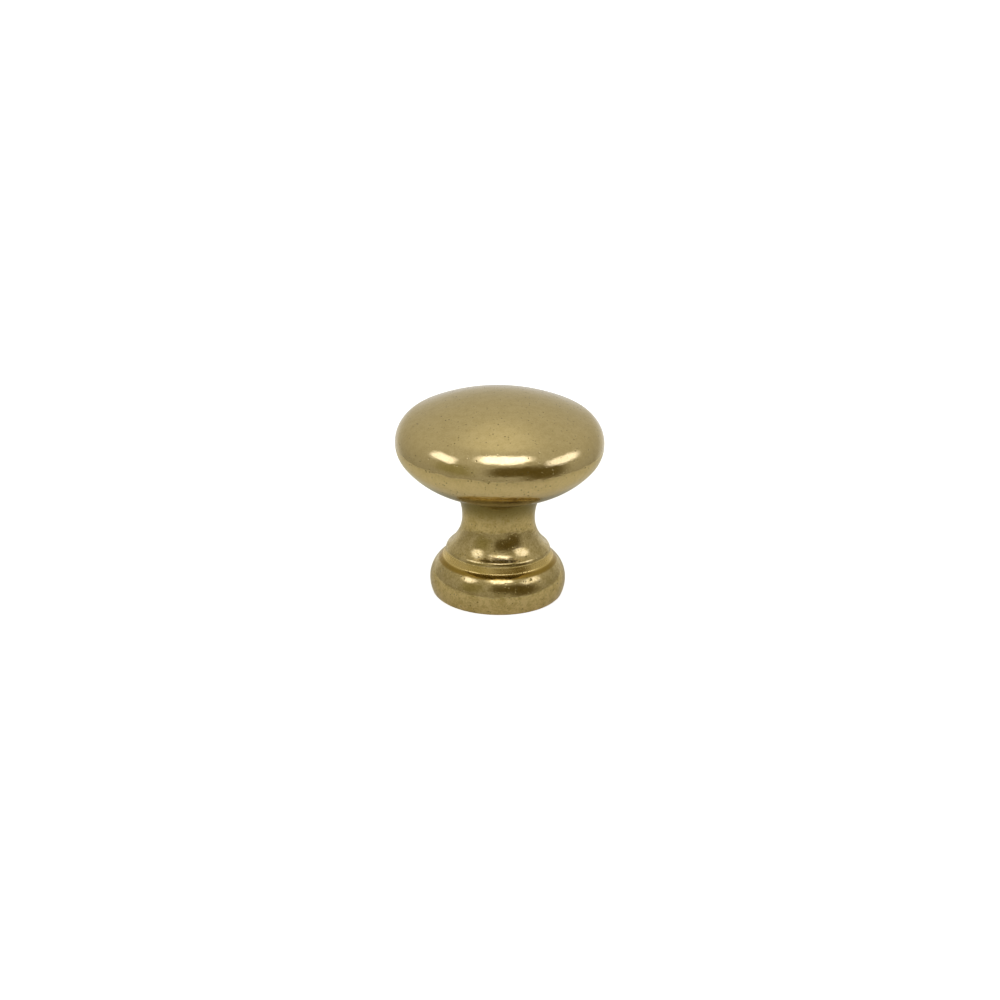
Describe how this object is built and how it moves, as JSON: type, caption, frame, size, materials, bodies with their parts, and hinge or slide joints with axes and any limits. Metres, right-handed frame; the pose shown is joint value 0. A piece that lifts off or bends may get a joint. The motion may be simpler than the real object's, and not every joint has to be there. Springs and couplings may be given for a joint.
{
  "type": "cabinet knob",
  "caption": "Mushroom cabinet knob turned from solid aged brass: shallow domed head, waisted neck flaring to a bell, banded round foot with a flat seat and a blind tapped screw hole.",
  "frame": {"origin": "middle of the seat, the flat face of the foot that lies on the door", "axes": "+Z runs along the knob's axis from the foot to the crown, away from the door; -Y faces the viewer of the picture; X and Y are otherwise alike, because the knob is a body of revolution"},
  "size_m": [0.032, 0.032, 0.0318],
  "materials": {
    "brass": "aged and tumbled: satin polish with fine casting pits and faint tarnish"
  },
  "bodies": {
    "root": {"knob": "brass"}
  },
  "joints": []
}
